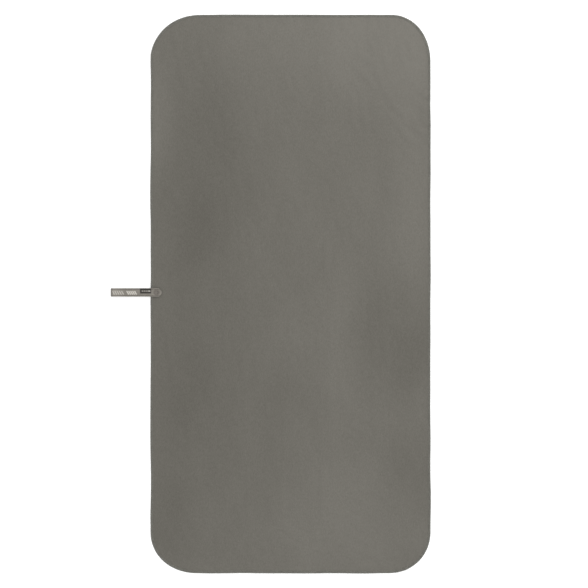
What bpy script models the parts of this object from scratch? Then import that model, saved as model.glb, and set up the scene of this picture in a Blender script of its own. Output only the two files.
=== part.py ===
"""Quick dry towel with an overlocked edge and a press-stud hang loop.

The towel lies flat with its long side along Y, +Z up and the origin on the cloth's underside,
at its middle. The hang loop leaves the middle of the -X side: its tape starts under the cloth,
runs out past the edge, folds back over itself and snaps down on the cloth's top.
Units are metres.
"""

import math

import bmesh
import bpy
from mathutils import Vector

# Cloth
TOWEL_WIDTH = 0.600
TOWEL_LENGTH = 1.200
CORNER_RADIUS = 0.092
CORNER_STEPS = 10
CLOTH_THICKNESS = 0.0007

# Sewing thread
THREAD_THICKNESS = 0.00025
THREAD_WIDTH = 0.0005
OVERLOCK_WIDTH = 0.0040

# Hang loop tape
TAPE_WIDTH = 0.018
TAPE_THICKNESS = 0.0007
TAPE_OFFSET = 0.0035        # how far the tape sits from the middle of the long side, along +Y
LOOP_REACH = 0.0864         # from the cloth's edge to the outside of the fold
TIP_MARGIN = 0.0044         # from the cap's rim to the tip of the tape
TIP_CHAMFER = 0.0060
END_MARGIN = 0.0020         # from the box stitch to the sewn end of the tape
RAMP_LENGTH = 0.012         # where the tape rises from the ground to the cloth's underside
RAMP_STEPS = 6
RAMP_INSET = 0.0020         # from the edge thread to the top of that rise
FOLD_STEPS = 6

# Press stud
CAP_DIAMETER = 0.0124
CAP_HEIGHT = 0.0012
BACK_CAP_HEIGHT = 0.0009
CAP_RIM = 0.0004
DISH_DIAMETER = 0.0066      # the cap's sunk middle, inside its rounded rim
DISH_DEPTH = 0.0005
BODY_DIAMETER = 0.0109      # outside of the stud's base and of the socket
BASE_THICKNESS = 0.0007
KNOB_DIAMETER = 0.0046
KNOB_HEIGHT = 0.00145
NECK_INSET = 0.0003
ROOF_THICKNESS = 0.0005
POST_DIAMETER = 0.0020
RIVET_DIAMETER = 0.0032     # flattened end of a post
RIVET_HEIGHT = 0.00025
ROUND_STEPS = 32
RIM_ARC_STEPS = 4

# Woven patch on the tape
PATCH_LENGTH = 0.0234
PATCH_WIDTH = 0.0108
PATCH_THICKNESS = 0.0003
PATCH_CORNER = 0.0006
PATCH_EDGE_GAP = 0.0003
PATCH_OVERHANG = 0.0004     # how far the patch reaches over the cloth's edge

# Clearances
LAYER_GAP = 0.0001          # between layers that press on one another
GROUND_GAP = 0.00005        # under the lower edge thread
STITCH_GAP = 0.0003
STUD_GAP = 0.0006           # between the press stud's rim and the box stitch
BORE_GAP = 0.00025
TOP_GAP = 0.00015           # between the two riveted posts, end to end
SPLIT_GAP = 0.0003
PLATEAU_MARGIN = 0.0010
BUMP_RUN = 0.025            # how far the cloth takes to come down to the ground beside the tape
BUMP_STEPS = 5
RIM_FLAT = 0.006
RIM_RUN = 0.006
RIM_STEPS = 2

# Heights, bottom to top
TAPE_BOTTOM = BACK_CAP_HEIGHT + LAYER_GAP
TAPE_TOP = TAPE_BOTTOM + TAPE_THICKNESS
RIM_LIFT = THREAD_THICKNESS + LAYER_GAP + GROUND_GAP
LOOP_LIFT = TAPE_TOP + LAYER_GAP + THREAD_THICKNESS + LAYER_GAP
CLOTH_TOP = LOOP_LIFT + CLOTH_THICKNESS
STUD_BOTTOM = CLOTH_TOP + LAYER_GAP
BASE_TOP = STUD_BOTTOM + BASE_THICKNESS
KNOB_TOP = BASE_TOP + KNOB_HEIGHT
SOCKET_BOTTOM = BASE_TOP + LAYER_GAP
UPPER_RIVET_BOTTOM = KNOB_TOP + TOP_GAP
ROOF_BOTTOM = UPPER_RIVET_BOTTOM + RIVET_HEIGHT + LAYER_GAP
SOCKET_TOP = ROOF_BOTTOM + ROOF_THICKNESS
FREE_BOTTOM = SOCKET_TOP + LAYER_GAP
FREE_TOP = FREE_BOTTOM + TAPE_THICKNESS
CAP_BOTTOM = FREE_TOP + LAYER_GAP

# Places along X, from the cloth's edge inwards
EDGE_X = -TOWEL_WIDTH / 2
NEEDLE_INSET = OVERLOCK_WIDTH + STITCH_GAP
BOX_STITCH_X = EDGE_X + NEEDLE_INSET + THREAD_WIDTH + STITCH_GAP
SNAP_X = BOX_STITCH_X + THREAD_WIDTH + STUD_GAP + CAP_DIAMETER / 2
BOX_STITCH_END = SNAP_X + CAP_DIAMETER / 2 + STUD_GAP + THREAD_WIDTH
SEWN_END = BOX_STITCH_END + END_MARGIN
TIP_X = SNAP_X + CAP_DIAMETER / 2 + TIP_MARGIN
FOLD_X = EDGE_X - LOOP_REACH
FOLD_RADIUS = FREE_TOP / 2
HINGE = Vector((FOLD_X, TAPE_OFFSET, FOLD_RADIUS))


def clear_scene():
    for ob in list(bpy.data.objects):
        bpy.data.objects.remove(ob, do_unlink=True)


def make_collection(name):
    collection = bpy.data.collections.new(name)
    bpy.context.scene.collection.children.link(collection)
    return collection


def make_material(name, colour, roughness, metallic=0.0):
    material = bpy.data.materials.new(name)
    material.use_nodes = True
    shader = material.node_tree.nodes["Principled BSDF"]
    shader.inputs["Base Color"].default_value = (*colour, 1.0)
    shader.inputs["Roughness"].default_value = roughness
    shader.inputs["Metallic"].default_value = metallic
    return material


def add_object(name, data, collection, material=None, location=(0, 0, 0)):
    ob = bpy.data.objects.new(name, data)
    ob.location = location
    collection.objects.link(ob)
    if material is not None:
        data.materials.append(material)
    return ob


def mesh_from(bm, name):
    mesh = bpy.data.meshes.new(name)
    bm.to_mesh(mesh)
    bm.free()
    return mesh


def smoothstep(t):
    t = min(max(t, 0.0), 1.0)
    return t * t * (3 - 2 * t)


def rim_distance(x, y):
    """Distance inwards from the rounded outline, negative outside it."""
    across = abs(x) - (TOWEL_WIDTH / 2 - CORNER_RADIUS)
    along = abs(y) - (TOWEL_LENGTH / 2 - CORNER_RADIUS)
    outside = math.hypot(max(across, 0.0), max(along, 0.0))
    return CORNER_RADIUS - outside - min(max(across, along), 0.0)


def lift(x, y):
    """Height of the cloth's underside: a thread's thickness at the rim, a tape's over the loop."""
    rim = RIM_LIFT * smoothstep((RIM_FLAT + RIM_RUN - rim_distance(x, y)) / RIM_RUN)
    past_end = x - (SEWN_END + PLATEAU_MARGIN)
    past_side = abs(y - TAPE_OFFSET) - (TAPE_WIDTH / 2 + PLATEAU_MARGIN)
    bump = smoothstep(1 - past_end / BUMP_RUN) * smoothstep(1 - past_side / BUMP_RUN)
    return rim + (LOOP_LIFT - rim) * bump


def rounded_sheet(half_x, half_y, radius, steps):
    """One flat face with rounded corners, centred on the origin."""
    bm = bmesh.new()
    bmesh.ops.create_grid(bm, x_segments=1, y_segments=1, size=1.0)
    bmesh.ops.scale(bm, vec=(half_x, half_y, 1.0), verts=bm.verts)
    bmesh.ops.bevel(
        bm, geom=bm.verts[:], offset=radius, segments=steps, profile=0.5, affect="VERTICES"
    )
    return bm


def keep_border(bm, width):
    """Cuts a flat sheet down to a border of the given width."""
    bmesh.ops.inset_region(
        bm, faces=bm.faces[:], thickness=width, use_boundary=True, use_even_offset=True
    )
    middle = max(bm.faces, key=lambda face: face.calc_area())
    bmesh.ops.delete(bm, geom=[middle], context="FACES_ONLY")


def cut_faces(bm, faces, point, normal):
    geometry = set(faces)
    for face in faces:
        geometry.update(face.verts)
        geometry.update(face.edges)
    bmesh.ops.bisect_plane(bm, geom=list(geometry), plane_co=point, plane_no=normal)


def cut_along_bump(bm):
    """Adds lines where the cloth climbs over the tape: to either side of it, and past its end."""
    runs = [BUMP_RUN * step / BUMP_STEPS for step in range(BUMP_STEPS + 1)]
    plateau = TAPE_WIDTH / 2 + PLATEAU_MARGIN
    for run in runs:
        cut_faces(bm, bm.faces[:], (0, TAPE_OFFSET + plateau + run, 0), (0, 1, 0))
        cut_faces(bm, bm.faces[:], (0, TAPE_OFFSET - plateau - run, 0), (0, 1, 0))
    for run in runs:
        over_tape = [
            face
            for face in bm.faces
            if abs(face.calc_center_median().y - TAPE_OFFSET) < plateau + BUMP_RUN
        ]
        cut_faces(bm, over_tape, (SEWN_END + PLATEAU_MARGIN + run, 0, 0), (1, 0, 0))


def follow_cloth(bm):
    for vert in bm.verts:
        vert.co.z += lift(vert.co.x, vert.co.y)


def solidify(ob, thickness, offset):
    modifier = ob.modifiers.new("thickness", "SOLIDIFY")
    modifier.thickness = thickness
    modifier.offset = offset
    modifier.use_even_offset = True


def cut_with(ob, cutter):
    modifier = ob.modifiers.new("hole", "BOOLEAN")
    modifier.operation = "DIFFERENCE"
    modifier.object = cutter


def turn_profile(name, profile, closed, collection, material):
    """A turned piece on the press stud's axis; the profile is (radius, height), down its outside."""
    bm = bmesh.new()
    verts = [bm.verts.new((radius, 0, height)) for radius, height in profile]
    for start, end in zip(verts, verts[1:]):
        bm.edges.new((start, end))
    if closed:
        bm.edges.new((verts[-1], verts[0]))
    ob = add_object(name, mesh_from(bm, name), collection, material, (SNAP_X, TAPE_OFFSET, 0))
    screw = ob.modifiers.new("turn", "SCREW")
    screw.angle = math.tau
    screw.steps = ROUND_STEPS
    screw.render_steps = ROUND_STEPS
    screw.use_merge_vertices = True
    screw.merge_threshold = 0.00001
    return ob


def make_cloth(collection, material, cutter):
    bm = rounded_sheet(TOWEL_WIDTH / 2, TOWEL_LENGTH / 2, CORNER_RADIUS, CORNER_STEPS)
    middle = bm.faces[:]
    for width in [RIM_FLAT] + [RIM_RUN / RIM_STEPS] * RIM_STEPS:
        bmesh.ops.inset_region(
            bm, faces=middle, thickness=width, use_boundary=True, use_even_offset=True
        )
    cut_along_bump(bm)
    follow_cloth(bm)
    bmesh.ops.triangulate(bm, faces=bm.faces[:])
    cloth = add_object("towel_cloth", mesh_from(bm, "towel_cloth"), collection, material)
    solidify(cloth, CLOTH_THICKNESS, 1)
    cut_with(cloth, cutter)


def make_looper_thread(name, face_height, lip, collection, material):
    """Overlock thread on one face of the cloth, turned over its edge by the height of lip."""
    bm = rounded_sheet(
        TOWEL_WIDTH / 2 + LAYER_GAP,
        TOWEL_LENGTH / 2 + LAYER_GAP,
        CORNER_RADIUS + LAYER_GAP,
        CORNER_STEPS,
    )
    keep_border(bm, OVERLOCK_WIDTH + LAYER_GAP)
    cut_along_bump(bm)
    outline = [
        edge
        for edge in bm.edges
        if edge.is_boundary
        and all(rim_distance(v.co.x, v.co.y) < LAYER_GAP / 2 for v in edge.verts)
    ]
    extruded = bmesh.ops.extrude_edge_only(bm, edges=outline)["geom"]
    lip_verts = [item for item in extruded if isinstance(item, bmesh.types.BMVert)]
    bmesh.ops.translate(bm, vec=(0, 0, lip), verts=lip_verts)
    bmesh.ops.translate(bm, vec=(0, 0, face_height), verts=bm.verts)
    follow_cloth(bm)
    bmesh.ops.recalc_face_normals(bm, faces=bm.faces[:])
    flat = max(bm.faces, key=lambda face: abs(face.normal.z))
    if flat.normal.z * lip > 0:
        bmesh.ops.reverse_faces(bm, faces=bm.faces[:])
    ob = add_object(name, mesh_from(bm, name), collection, material)
    solidify(ob, THREAD_THICKNESS, 1)


def make_needle_thread(collection, material):
    inset = NEEDLE_INSET
    bm = rounded_sheet(
        TOWEL_WIDTH / 2 - inset, TOWEL_LENGTH / 2 - inset, CORNER_RADIUS - inset, CORNER_STEPS
    )
    keep_border(bm, THREAD_WIDTH)
    cut_along_bump(bm)
    bmesh.ops.translate(bm, vec=(0, 0, CLOTH_THICKNESS + LAYER_GAP), verts=bm.verts)
    follow_cloth(bm)
    name = "edge_thread_needle"
    ob = add_object(name, mesh_from(bm, name), collection, material)
    solidify(ob, THREAD_THICKNESS, 1)


def make_box_stitch(name, height, collection, material):
    """A rectangle of stitches round the press stud."""
    half_x = (BOX_STITCH_END - BOX_STITCH_X) / 2
    half_y = CAP_DIAMETER / 2 + STUD_GAP + THREAD_WIDTH
    bm = rounded_sheet(half_x, half_y, THREAD_WIDTH, 2)
    keep_border(bm, THREAD_WIDTH)
    centre = ((BOX_STITCH_X + BOX_STITCH_END) / 2, TAPE_OFFSET, height)
    ob = add_object(name, mesh_from(bm, name), collection, material, centre)
    solidify(ob, THREAD_THICKNESS, 1)


def fold_arc(start, end):
    """Middle line of the tape round the fold, as (x, z), between two angles in radians."""
    radius = FOLD_RADIUS - TAPE_THICKNESS / 2
    angles = [start + (end - start) * step / FOLD_STEPS for step in range(FOLD_STEPS + 1)]
    return [
        (FOLD_X + FOLD_RADIUS + radius * math.cos(a), FOLD_RADIUS + radius * math.sin(a))
        for a in angles
    ]


def make_tape(name, path, collection, material, cutter):
    """Tape of constant width along a path of (x, z); its last end is the one with a tip."""
    bm = bmesh.new()
    verts = [bm.verts.new((x, TAPE_OFFSET - TAPE_WIDTH / 2, z)) for x, z in path]
    edges = [bm.edges.new(pair) for pair in zip(verts, verts[1:])]
    extruded = bmesh.ops.extrude_edge_only(bm, edges=edges)["geom"]
    far_side = [item for item in extruded if isinstance(item, bmesh.types.BMVert)]
    bmesh.ops.translate(bm, vec=(0, TAPE_WIDTH, 0), verts=far_side)
    bmesh.ops.recalc_face_normals(bm, faces=bm.faces[:])
    tip = max(vert.co.x for vert in bm.verts)
    if tip > SEWN_END:
        corners = [vert for vert in bm.verts if vert.co.x == tip]
        bmesh.ops.bevel(
            bm, geom=corners, offset=TIP_CHAMFER, segments=1, profile=0.5, affect="VERTICES"
        )
    ob = add_object(name, mesh_from(bm, name), collection, material)
    solidify(ob, TAPE_THICKNESS, 0)
    cut_with(ob, cutter)
    return ob


def make_loop_tape(collection, material, cutter):
    """The tape in two lengths, parted at the outermost line of its fold, where it hinges."""
    half_split = SPLIT_GAP / 2 / FOLD_RADIUS
    lower = TAPE_THICKNESS / 2
    upper = TAPE_BOTTOM + TAPE_THICKNESS / 2
    ramp_end = EDGE_X - LAYER_GAP - THREAD_THICKNESS - RAMP_INSET
    fixed_path = fold_arc(math.pi + half_split, 1.5 * math.pi)
    for step in range(RAMP_STEPS + 1):
        share = step / RAMP_STEPS
        x = ramp_end - RAMP_LENGTH * (1 - share)
        fixed_path.append((x, lower + (upper - lower) * smoothstep(share)))
    fixed_path.append((SEWN_END, upper))
    make_tape("loop_tape_fixed", fixed_path, collection, material, cutter)

    free_path = fold_arc(math.pi - half_split, 0.5 * math.pi)
    free_path.append((TIP_X, FREE_BOTTOM + TAPE_THICKNESS / 2))
    return make_tape("loop_tape_free", free_path, collection, material, cutter)


def make_patch(collection, material):
    bm = rounded_sheet(PATCH_LENGTH / 2, PATCH_WIDTH / 2, PATCH_CORNER, 2)
    centre = (
        EDGE_X + PATCH_OVERHANG - PATCH_LENGTH / 2,
        TAPE_OFFSET + TAPE_WIDTH / 2 - PATCH_EDGE_GAP - PATCH_WIDTH / 2,
        FREE_TOP + LAYER_GAP,
    )
    ob = add_object("tape_patch", mesh_from(bm, "tape_patch"), collection, material, centre)
    solidify(ob, PATCH_THICKNESS, 1)
    return ob


def dished_head(radius, bottom, height):
    """Profile of a head with a rounded rim round a dish, from its middle out to its underside."""
    dish = DISH_DIAMETER / 2
    crown = (radius + dish) / 2
    floor = bottom + height - DISH_DEPTH
    points = [(0, floor)]
    for step in range(2 * RIM_ARC_STEPS + 1):
        angle = 0.5 * math.pi * step / RIM_ARC_STEPS
        foot = floor if step < RIM_ARC_STEPS else bottom + CAP_RIM
        rise = foot + (bottom + height - foot) * math.sin(angle)
        points.append((crown - (crown - dish) * math.cos(angle), rise))
    return points + [(radius, bottom)]


def make_snap_cap(collection, material):
    post = POST_DIAMETER / 2
    rivet = RIVET_DIAMETER / 2
    rivet_top = UPPER_RIVET_BOTTOM + RIVET_HEIGHT
    profile = dished_head(CAP_DIAMETER / 2, CAP_BOTTOM, CAP_HEIGHT)
    profile += [(post, CAP_BOTTOM), (post, rivet_top), (rivet, rivet_top)]
    profile += [(rivet, UPPER_RIVET_BOTTOM), (0, UPPER_RIVET_BOTTOM)]
    return turn_profile("snap_cap", profile, False, collection, material)


def make_snap_socket(collection, material):
    outer = BODY_DIAMETER / 2
    mouth = KNOB_DIAMETER / 2 + BORE_GAP
    hole = POST_DIAMETER / 2 + BORE_GAP
    profile = [
        (hole, SOCKET_TOP),
        (outer, SOCKET_TOP),
        (outer, SOCKET_BOTTOM),
        (mouth, SOCKET_BOTTOM),
        (mouth, ROOF_BOTTOM),
        (hole, ROOF_BOTTOM),
    ]
    return turn_profile("snap_socket", profile, True, collection, material)


def make_snap_stud(collection, material):
    outer = BODY_DIAMETER / 2
    knob = KNOB_DIAMETER / 2
    neck = knob - NECK_INSET
    bore = POST_DIAMETER / 2 + BORE_GAP
    recess = RIVET_DIAMETER / 2 + BORE_GAP
    recess_floor = KNOB_TOP - 2 * LAYER_GAP - RIVET_HEIGHT
    profile = [
        (recess, KNOB_TOP),
        (knob, KNOB_TOP - NECK_INSET),
        (knob, KNOB_TOP - KNOB_HEIGHT / 2),
        (neck, BASE_TOP),
        (outer, BASE_TOP),
        (outer, STUD_BOTTOM),
        (bore, STUD_BOTTOM),
        (bore, recess_floor),
        (recess, recess_floor),
    ]
    turn_profile("snap_stud", profile, True, collection, material)


def make_snap_back_cap(collection, material):
    """Head under the tape, its post riveted in the stud. The outside runs from the post down."""
    post = POST_DIAMETER / 2
    rivet = RIVET_DIAMETER / 2
    rivet_top = KNOB_TOP - LAYER_GAP
    head = CAP_DIAMETER / 2
    profile = [
        (0, rivet_top),
        (rivet, rivet_top),
        (rivet, rivet_top - RIVET_HEIGHT),
        (post, rivet_top - RIVET_HEIGHT),
        (post, BACK_CAP_HEIGHT),
        (head, BACK_CAP_HEIGHT),
        (head, CAP_RIM),
        (head - CAP_RIM, 0),
        (0, 0),
    ]
    turn_profile("snap_back_cap", profile, False, collection, material)


def make_post_cutter(collection):
    radius = POST_DIAMETER / 2 + BORE_GAP
    depth = 3 * CAP_BOTTOM
    bm = bmesh.new()
    bmesh.ops.create_cone(
        bm, cap_ends=True, segments=ROUND_STEPS, radius1=radius, radius2=radius, depth=depth
    )
    name = "post_hole_cutter"
    cutter = add_object(name, mesh_from(bm, name), collection, None, (SNAP_X, TAPE_OFFSET, 0))
    cutter.hide_render = True
    cutter.display_type = "WIRE"
    return cutter


def hang_on_hinge(pieces, collection):
    """Parents the moving pieces to an empty on the fold's outermost line."""
    hinge = bpy.data.objects.new("loop_hinge", None)
    hinge.location = HINGE
    collection.objects.link(hinge)
    for piece in pieces:
        piece.location -= HINGE
        piece.parent = hinge


def main():
    clear_scene()
    parts = make_collection("quick_dry_towel")
    cutters = make_collection("cutters")
    suede = make_material("microfibre", (0.165, 0.157, 0.138), 0.95)
    thread = make_material("thread", (0.130, 0.124, 0.109), 0.8)
    webbing = make_material("tape", (0.300, 0.278, 0.246), 0.8)
    plastic = make_material("snap_plastic", (0.200, 0.183, 0.158), 0.4)
    dark = make_material("patch", (0.052, 0.046, 0.038), 0.7)

    post_cutter = make_post_cutter(cutters)
    make_cloth(parts, suede, post_cutter)
    middle = CLOTH_THICKNESS / 2
    upper_skin = CLOTH_THICKNESS + LAYER_GAP
    upper_lip = middle + LAYER_GAP / 2 - upper_skin
    make_looper_thread("edge_thread_upper", upper_skin, upper_lip, parts, thread)
    make_looper_thread("edge_thread_lower", -LAYER_GAP, middle + LAYER_GAP / 2, parts, thread)
    make_needle_thread(parts, thread)

    free_tape = make_loop_tape(parts, webbing, post_cutter)
    make_box_stitch("box_stitch_needle", STUD_BOTTOM, parts, thread)
    bobbin_bottom = TAPE_BOTTOM - LAYER_GAP - THREAD_THICKNESS
    make_box_stitch("box_stitch_bobbin", bobbin_bottom, parts, thread)
    make_snap_stud(parts, plastic)
    make_snap_back_cap(parts, plastic)
    cap = make_snap_cap(parts, plastic)
    socket = make_snap_socket(parts, plastic)
    patch = make_patch(parts, dark)
    hang_on_hinge([free_tape, cap, socket, patch], parts)


main()
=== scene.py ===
import math

import bmesh
import bpy
from mathutils import Matrix, Vector, noise
from mathutils.bvhtree import BVHTree


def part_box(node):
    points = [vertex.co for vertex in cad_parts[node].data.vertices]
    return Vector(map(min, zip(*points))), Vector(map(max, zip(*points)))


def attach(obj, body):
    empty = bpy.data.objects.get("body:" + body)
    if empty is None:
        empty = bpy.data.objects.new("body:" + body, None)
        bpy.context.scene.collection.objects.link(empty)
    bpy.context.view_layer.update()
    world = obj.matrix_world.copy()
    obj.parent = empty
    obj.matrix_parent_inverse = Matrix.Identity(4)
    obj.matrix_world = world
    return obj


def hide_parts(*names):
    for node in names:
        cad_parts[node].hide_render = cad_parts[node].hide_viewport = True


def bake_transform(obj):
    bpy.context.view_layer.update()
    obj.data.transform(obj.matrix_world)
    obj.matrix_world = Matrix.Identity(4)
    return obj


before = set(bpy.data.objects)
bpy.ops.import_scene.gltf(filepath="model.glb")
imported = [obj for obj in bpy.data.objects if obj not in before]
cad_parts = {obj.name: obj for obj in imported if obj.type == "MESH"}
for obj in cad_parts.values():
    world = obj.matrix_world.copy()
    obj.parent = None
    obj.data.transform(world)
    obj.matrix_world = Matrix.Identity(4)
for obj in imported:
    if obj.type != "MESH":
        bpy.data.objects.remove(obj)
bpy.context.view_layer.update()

scene = bpy.context.scene
scene.view_settings.view_transform = "Standard"
noise.seed_set(7)  # the waver is drawn from this, so that every run gives the same towel
print("frame loaded")

clothLow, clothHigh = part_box("towel_cloth")
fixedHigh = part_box("loop_tape_fixed")[1]
freeLow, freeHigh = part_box("loop_tape_free")
capLow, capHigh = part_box("snap_cap")
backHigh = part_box("snap_back_cap")[1]
socketLow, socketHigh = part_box("snap_socket")
studLow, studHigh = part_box("snap_stud")
patchLow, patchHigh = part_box("tape_patch")
boxLow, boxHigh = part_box("box_stitch_needle")
bobbinLow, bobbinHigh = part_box("box_stitch_bobbin")
snapX = (capLow.x + capHigh.x) / 2
tapeY = (freeLow.y + freeHigh.y) / 2
layerGap = 0.0001  # between layers that press on one another


def smoothStep(t):
    t = min(max(t, 0.0), 1.0)
    return t * t * (3 - 2 * t)


def newGroup(name, inputs, outputs):
    group = bpy.data.node_groups.new(name, "ShaderNodeTree")
    for label, kind, value in inputs:
        socket = group.interface.new_socket(name=label, in_out="INPUT", socket_type=kind)
        if value is not None:
            socket.default_value = value
    for label, kind in outputs:
        group.interface.new_socket(name=label, in_out="OUTPUT", socket_type=kind)
    group.nodes.new("NodeGroupInput").name = "in"
    group.nodes.new("NodeGroupOutput").name = "out"
    return group


def addNode(tree, kind, inputs=None, **settings):
    made = tree.nodes.new("ShaderNode" + kind)
    for key, value in settings.items():
        setattr(made, key, value)
    for key, value in (inputs or {}).items():
        if isinstance(value, bpy.types.NodeSocket):
            tree.links.new(value, made.inputs[key])
        else:
            made.inputs[key].default_value = value
    return made


def mathNode(tree, operation, a, b=0.0, c=0.0, clamp=False):
    made = addNode(tree, "Math", {0: a, 1: b, 2: c}, operation=operation, use_clamp=clamp)
    return made.outputs[0]


def mixColour(tree, share, a, b, blend="MIX"):
    made = addNode(tree, "Mix", data_type="RGBA", blend_type=blend)
    for index, value in ((0, share), (6, a), (7, b)):
        if isinstance(value, bpy.types.NodeSocket):
            tree.links.new(value, made.inputs[index])
        else:
            made.inputs[index].default_value = value
    return made.outputs[2]


def fade(tree, value, start, end, kind="SMOOTHSTEP"):
    # 0 at start, 1 at end
    span = {"Value": value, "From Min": start, "From Max": end}
    return addNode(tree, "MapRange", span, interpolation_type=kind).outputs["Result"]


def distanceFrom(tree, value, place):
    return mathNode(tree, "ABSOLUTE", mathNode(tree, "SUBTRACT", value, place))


def useGroup(tree, group, inputs):
    made = tree.nodes.new("ShaderNodeGroup")
    made.node_tree = group
    for key, value in inputs.items():
        if isinstance(value, bpy.types.NodeSocket):
            tree.links.new(value, made.inputs[key])
        else:
            made.inputs[key].default_value = value
    return made.outputs


def makeMottle():
    # broad patches and fine fibres of noise: Tone runs either side of 0, Height either side of 0.5
    group = newGroup(
        "fibreMottle",
        [
            ("Vector", "NodeSocketVector", None),
            ("Patch Size", "NodeSocketFloat", 0.02),
            ("Patch Weight", "NodeSocketFloat", 1.0),
            ("Fibre Size", "NodeSocketFloat", 0.0008),
            ("Fibre Weight", "NodeSocketFloat", 1.0),
        ],
        [("Tone", "NodeSocketFloat"), ("Height", "NodeSocketFloat")],
    )
    given = group.nodes["in"].outputs
    patchScale = mathNode(group, "DIVIDE", 1.0, given["Patch Size"])
    fibreScale = mathNode(group, "DIVIDE", 1.0, given["Fibre Size"])
    patches = addNode(group, "TexNoise", {"Vector": given["Vector"], "Scale": patchScale, "Detail": 2.0})
    fibres = addNode(group, "TexNoise", {"Vector": given["Vector"], "Scale": fibreScale, "Detail": 4.0})
    broad = mathNode(group, "SUBTRACT", patches.outputs["Fac"], 0.5)
    broad = mathNode(group, "MULTIPLY", broad, given["Patch Weight"])
    fine = mathNode(group, "SUBTRACT", fibres.outputs["Fac"], 0.5)
    tone = mathNode(group, "MULTIPLY_ADD", fine, given["Fibre Weight"], broad)
    group.links.new(tone, group.nodes["out"].inputs["Tone"])
    group.links.new(fibres.outputs["Fac"], group.nodes["out"].inputs["Height"])
    return group


def makeWeave():
    # plain weave, one yarn over and one under: Height of the yarns and Gap Shade, painted shade in the
    # hollows between them
    group = newGroup(
        "plainWeave",
        [
            ("Vector", "NodeSocketVector", None),
            ("Weft Pitch", "NodeSocketFloat", 0.001),
            ("Warp Pitch", "NodeSocketFloat", 0.0006),
        ],
        [("Height", "NodeSocketFloat"), ("Gap Shade", "NodeSocketFloat")],
    )
    given = group.nodes["in"].outputs
    parts = addNode(group, "SeparateXYZ", {"Vector": given["Vector"]}).outputs
    along = mathNode(group, "DIVIDE", parts["X"], given["Weft Pitch"])
    across = mathNode(group, "DIVIDE", parts["Y"], given["Warp Pitch"])
    column = mathNode(group, "FLOOR", along)
    row = mathNode(group, "FLOOR", across)
    cells = mathNode(group, "ADD", column, row)
    over = mathNode(group, "FLOORED_MODULO", cells, 2.0)
    wave = mathNode(group, "SINE", mathNode(group, "MULTIPLY", along, math.pi))
    weft = mathNode(group, "ABSOLUTE", wave)
    wave = mathNode(group, "SINE", mathNode(group, "MULTIPLY", across, math.pi))
    warp = mathNode(group, "ABSOLUTE", wave)
    lifted = mathNode(group, "MULTIPLY", over, mathNode(group, "SUBTRACT", weft, warp))
    height = mathNode(group, "ADD", warp, lifted)
    group.links.new(height, group.nodes["out"].inputs["Height"])
    gapShade = mathNode(group, "SUBTRACT", 1.0, height, clamp=True)
    group.links.new(mathNode(group, "POWER", gapShade, 2.0), group.nodes["out"].inputs["Gap Shade"])
    return group


def makeBars():
    # a run of slanted bars from Start, Half Height either side of Centre
    group = newGroup(
        "slantedBars",
        [
            ("Vector", "NodeSocketVector", None),
            ("Start", "NodeSocketFloat", 0.0),
            ("Count", "NodeSocketFloat", 5.0),
            ("Centre", "NodeSocketFloat", 0.0),
            ("Half Height", "NodeSocketFloat", 0.004),
            ("Pitch", "NodeSocketFloat", 0.004),
            ("Share", "NodeSocketFloat", 0.5),
            ("Slant", "NodeSocketFloat", 0.6),
        ],
        [("Mask", "NodeSocketFloat")],
    )
    given = group.nodes["in"].outputs
    parts = addNode(group, "SeparateXYZ", {"Vector": given["Vector"]}).outputs
    height = mathNode(group, "SUBTRACT", parts["Y"], given["Centre"])
    leaning = mathNode(group, "MULTIPLY_ADD", height, given["Slant"], parts["X"])
    turn = mathNode(group, "DIVIDE", mathNode(group, "SUBTRACT", leaning, given["Start"]), given["Pitch"])
    bar = mathNode(group, "LESS_THAN", mathNode(group, "FRACT", turn), given["Share"])
    inside = mathNode(group, "LESS_THAN", mathNode(group, "ABSOLUTE", height), given["Half Height"])
    after = mathNode(group, "GREATER_THAN", turn, 0.0)
    before = mathNode(group, "LESS_THAN", turn, given["Count"])
    run = mathNode(group, "MULTIPLY", after, before)
    mask = mathNode(group, "MULTIPLY", mathNode(group, "MULTIPLY", bar, inside), run)
    group.links.new(mask, group.nodes["out"].inputs["Mask"])
    return group


mottleGroup = makeMottle()
weaveGroup = makeWeave()
barsGroup = makeBars()


def newMaterial(name, **plain):
    material = bpy.data.materials.new(name)
    material.use_nodes = True
    tree = material.node_tree
    shader = tree.nodes["Principled BSDF"]
    for key, value in plain.items():
        shader.inputs[key.replace("_", " ")].default_value = value
    return material, tree, shader


def setBump(tree, shader, height, distance, strength=1.0):
    bump = addNode(tree, "Bump", {"Height": height, "Distance": distance, "Strength": strength})
    tree.links.new(bump.outputs["Normal"], shader.inputs["Normal"])


suedeLook = {
    "darkNapAndShade": (0.0920, 0.0868, 0.0740, 1),
    "paleNapAndLight": (0.1610, 0.1532, 0.1347, 1),
    "middle": 0.47,
    "patchSize": 0.075,
    "fibreSize": 0.0021,
    "grainSize": 0.0003,
    # where the nap lies one way or the other, with painted light and shade, lightest towards the top right:
    # x, y, half width, half length, change
    "napAndLightStrokes": [
        (0.250, 0.560, 0.28, 0.28, 0.32),
        (0.035, 0.585, 0.36, 0.22, 0.23),
        (0.275, 0.210, 0.10, 0.40, 0.17),
        (-0.180, 0.330, 0.16, 0.32, -0.22),
        (-0.220, 0.120, 0.14, 0.22, -0.16),
        (-0.288, 0.370, 0.06, 0.18, 0.20),
        (-0.250, -0.230, 0.18, 0.28, -0.20),
        (-0.270, -0.480, 0.15, 0.22, -0.18),
        (-0.130, -0.330, 0.20, 0.30, -0.10),
        (0.240, -0.095, 0.19, 0.20, -0.25),
        (0.110, -0.150, 0.08, 0.30, 0.10),
        (0.110, -0.500, 0.22, 0.20, 0.21),
        (0.255, -0.380, 0.10, 0.16, -0.12),
        (-0.020, -0.210, 0.13, 0.12, -0.08),
        (-0.150, 0.120, 0.26, 0.34, -0.12),
        (-0.200, -0.100, 0.20, 0.26, -0.10),
    ],
}


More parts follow.
